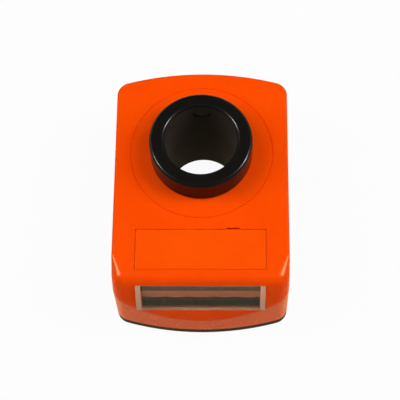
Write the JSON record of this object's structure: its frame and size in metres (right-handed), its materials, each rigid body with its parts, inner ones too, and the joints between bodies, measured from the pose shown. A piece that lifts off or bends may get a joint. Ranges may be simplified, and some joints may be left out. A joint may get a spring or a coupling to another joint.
{
  "type": "mechanical position indicator",
  "caption": "Hollow-shaft mechanical position indicator: a spindle bore turns a geared roller counter behind a window in the sloping front of a moulded housing.",
  "frame": {"origin": "centre of the spindle bore at the back face", "axes": "+Z along the shaft out of the top, -Y towards the window, +X to the viewer's right"},
  "size_m": [0.048, 0.0685, 0.0352],
  "materials": {
    "orange": "glossy moulded plastic",
    "clear": "clear moulded plastic",
    "black_base": "satin moulded plastic",
    "blackened_steel": "oil-blackened, turned",
    "steel": "bright drawn",
    "bronze": "sintered",
    "seal": "matte",
    "gear_plastic": "natural moulded plastic",
    "wheel_black": "satin moulded plastic, printed",
    "wheel_red": "satin moulded plastic, printed"
  },
  "bodies": {
    "case": {"housing": "orange", "name_plate": "orange", "window_lens": "clear", "base_plate": "black_base", "cover_screws": "steel", "upper_bush": "bronze", "shaft_seal": "seal", "lower_bush": "bronze", "counter_frame": "black_base", "frame_screws": "steel", "transfer_stud": "steel", "idler_stud": "steel", "carry_axle": "steel"},
    "shaft": {"hollow_shaft": "blackened_steel", "retaining_ring": "steel", "crown_gear": "gear_plastic"},
    "clamp_screw": {"grub_screw": "blackened_steel"},
    "transfer": {"transfer_gear": "gear_plastic"},
    "idler": {"idler_gear": "gear_plastic"},
    "units": {"number_wheel_5": "wheel_red", "wheel_axle": "steel", "drive_gear": "gear_plastic"},
    "ten_thousands": {"number_wheel_1": "wheel_black"},
    "thousands": {"number_wheel_2": "wheel_black"},
    "hundreds": {"number_wheel_3": "wheel_black"},
    "tens": {"number_wheel_4": "wheel_black"},
    "carry_1": {"carry_pinion_1": "gear_plastic"},
    "carry_2": {"carry_pinion_2": "gear_plastic"},
    "carry_3": {"carry_pinion_3": "gear_plastic"},
    "carry_4": {"carry_pinion_4": "gear_plastic"}
  },
  "joints": [
    {"name": "shaft_spin", "type": "hinge", "parent": "case", "child": "shaft", "pos_m": [0, 0, 0], "axis": [0, 0, 1], "continuous": true},
    {"name": "grub_screw_travel", "type": "slide", "parent": "shaft", "child": "clamp_screw", "axis": [0, 1, 0], "range_m": [-0.0001, 0.0024]},
    {"name": "transfer_spin", "type": "hinge", "parent": "case", "child": "transfer", "pos_m": [0, 0, 0.01091], "axis": [1, 0, 0], "continuous": true},
    {"name": "idler_spin", "type": "hinge", "parent": "case", "child": "idler", "pos_m": [0, -0.01384, 0.01486], "axis": [1, 0, 0], "continuous": true},
    {"name": "units_spin", "type": "hinge", "parent": "case", "child": "units", "pos_m": [0, -0.02822, 0.01537], "axis": [1, 0, 0], "continuous": true},
    {"name": "tens_spin", "type": "hinge", "parent": "case", "child": "tens", "pos_m": [0, -0.02822, 0.01537], "axis": [1, 0, 0], "continuous": true},
    {"name": "hundreds_spin", "type": "hinge", "parent": "case", "child": "hundreds", "pos_m": [0, -0.02822, 0.01537], "axis": [1, 0, 0], "continuous": true},
    {"name": "thousands_spin", "type": "hinge", "parent": "case", "child": "thousands", "pos_m": [0, -0.02822, 0.01537], "axis": [1, 0, 0], "continuous": true},
    {"name": "ten_thousands_spin", "type": "hinge", "parent": "case", "child": "ten_thousands", "pos_m": [0, -0.02822, 0.01537], "axis": [1, 0, 0], "continuous": true},
    {"name": "carry_1_spin", "type": "hinge", "parent": "case", "child": "carry_1", "pos_m": [0, -0.01842, 0.01537], "axis": [1, 0, 0], "continuous": true},
    {"name": "carry_2_spin", "type": "hinge", "parent": "case", "child": "carry_2", "pos_m": [0, -0.01842, 0.01537], "axis": [1, 0, 0], "continuous": true},
    {"name": "carry_3_spin", "type": "hinge", "parent": "case", "child": "carry_3", "pos_m": [0, -0.01842, 0.01537], "axis": [1, 0, 0], "continuous": true},
    {"name": "carry_4_spin", "type": "hinge", "parent": "case", "child": "carry_4", "pos_m": [0, -0.01842, 0.01537], "axis": [1, 0, 0], "continuous": true}
  ],
  "couplings": [
    {"joint": "transfer_spin", "follows": "shaft_spin", "ratio": 4},
    {"joint": "idler_spin", "follows": "shaft_spin", "ratio": -3.8095},
    {"joint": "units_spin", "follows": "shaft_spin", "ratio": 4},
    {"joint": "tens_spin", "follows": "shaft_spin", "ratio": 0.4},
    {"joint": "hundreds_spin", "follows": "shaft_spin", "ratio": 0.04},
    {"joint": "thousands_spin", "follows": "shaft_spin", "ratio": 0.004},
    {"joint": "ten_thousands_spin", "follows": "shaft_spin", "ratio": 0.0004},
    {"joint": "carry_1_spin", "follows": "shaft_spin", "ratio": -0.001},
    {"joint": "carry_2_spin", "follows": "shaft_spin", "ratio": -0.01},
    {"joint": "carry_3_spin", "follows": "shaft_spin", "ratio": -0.1},
    {"joint": "carry_4_spin", "follows": "shaft_spin", "ratio": -1}
  ]
}
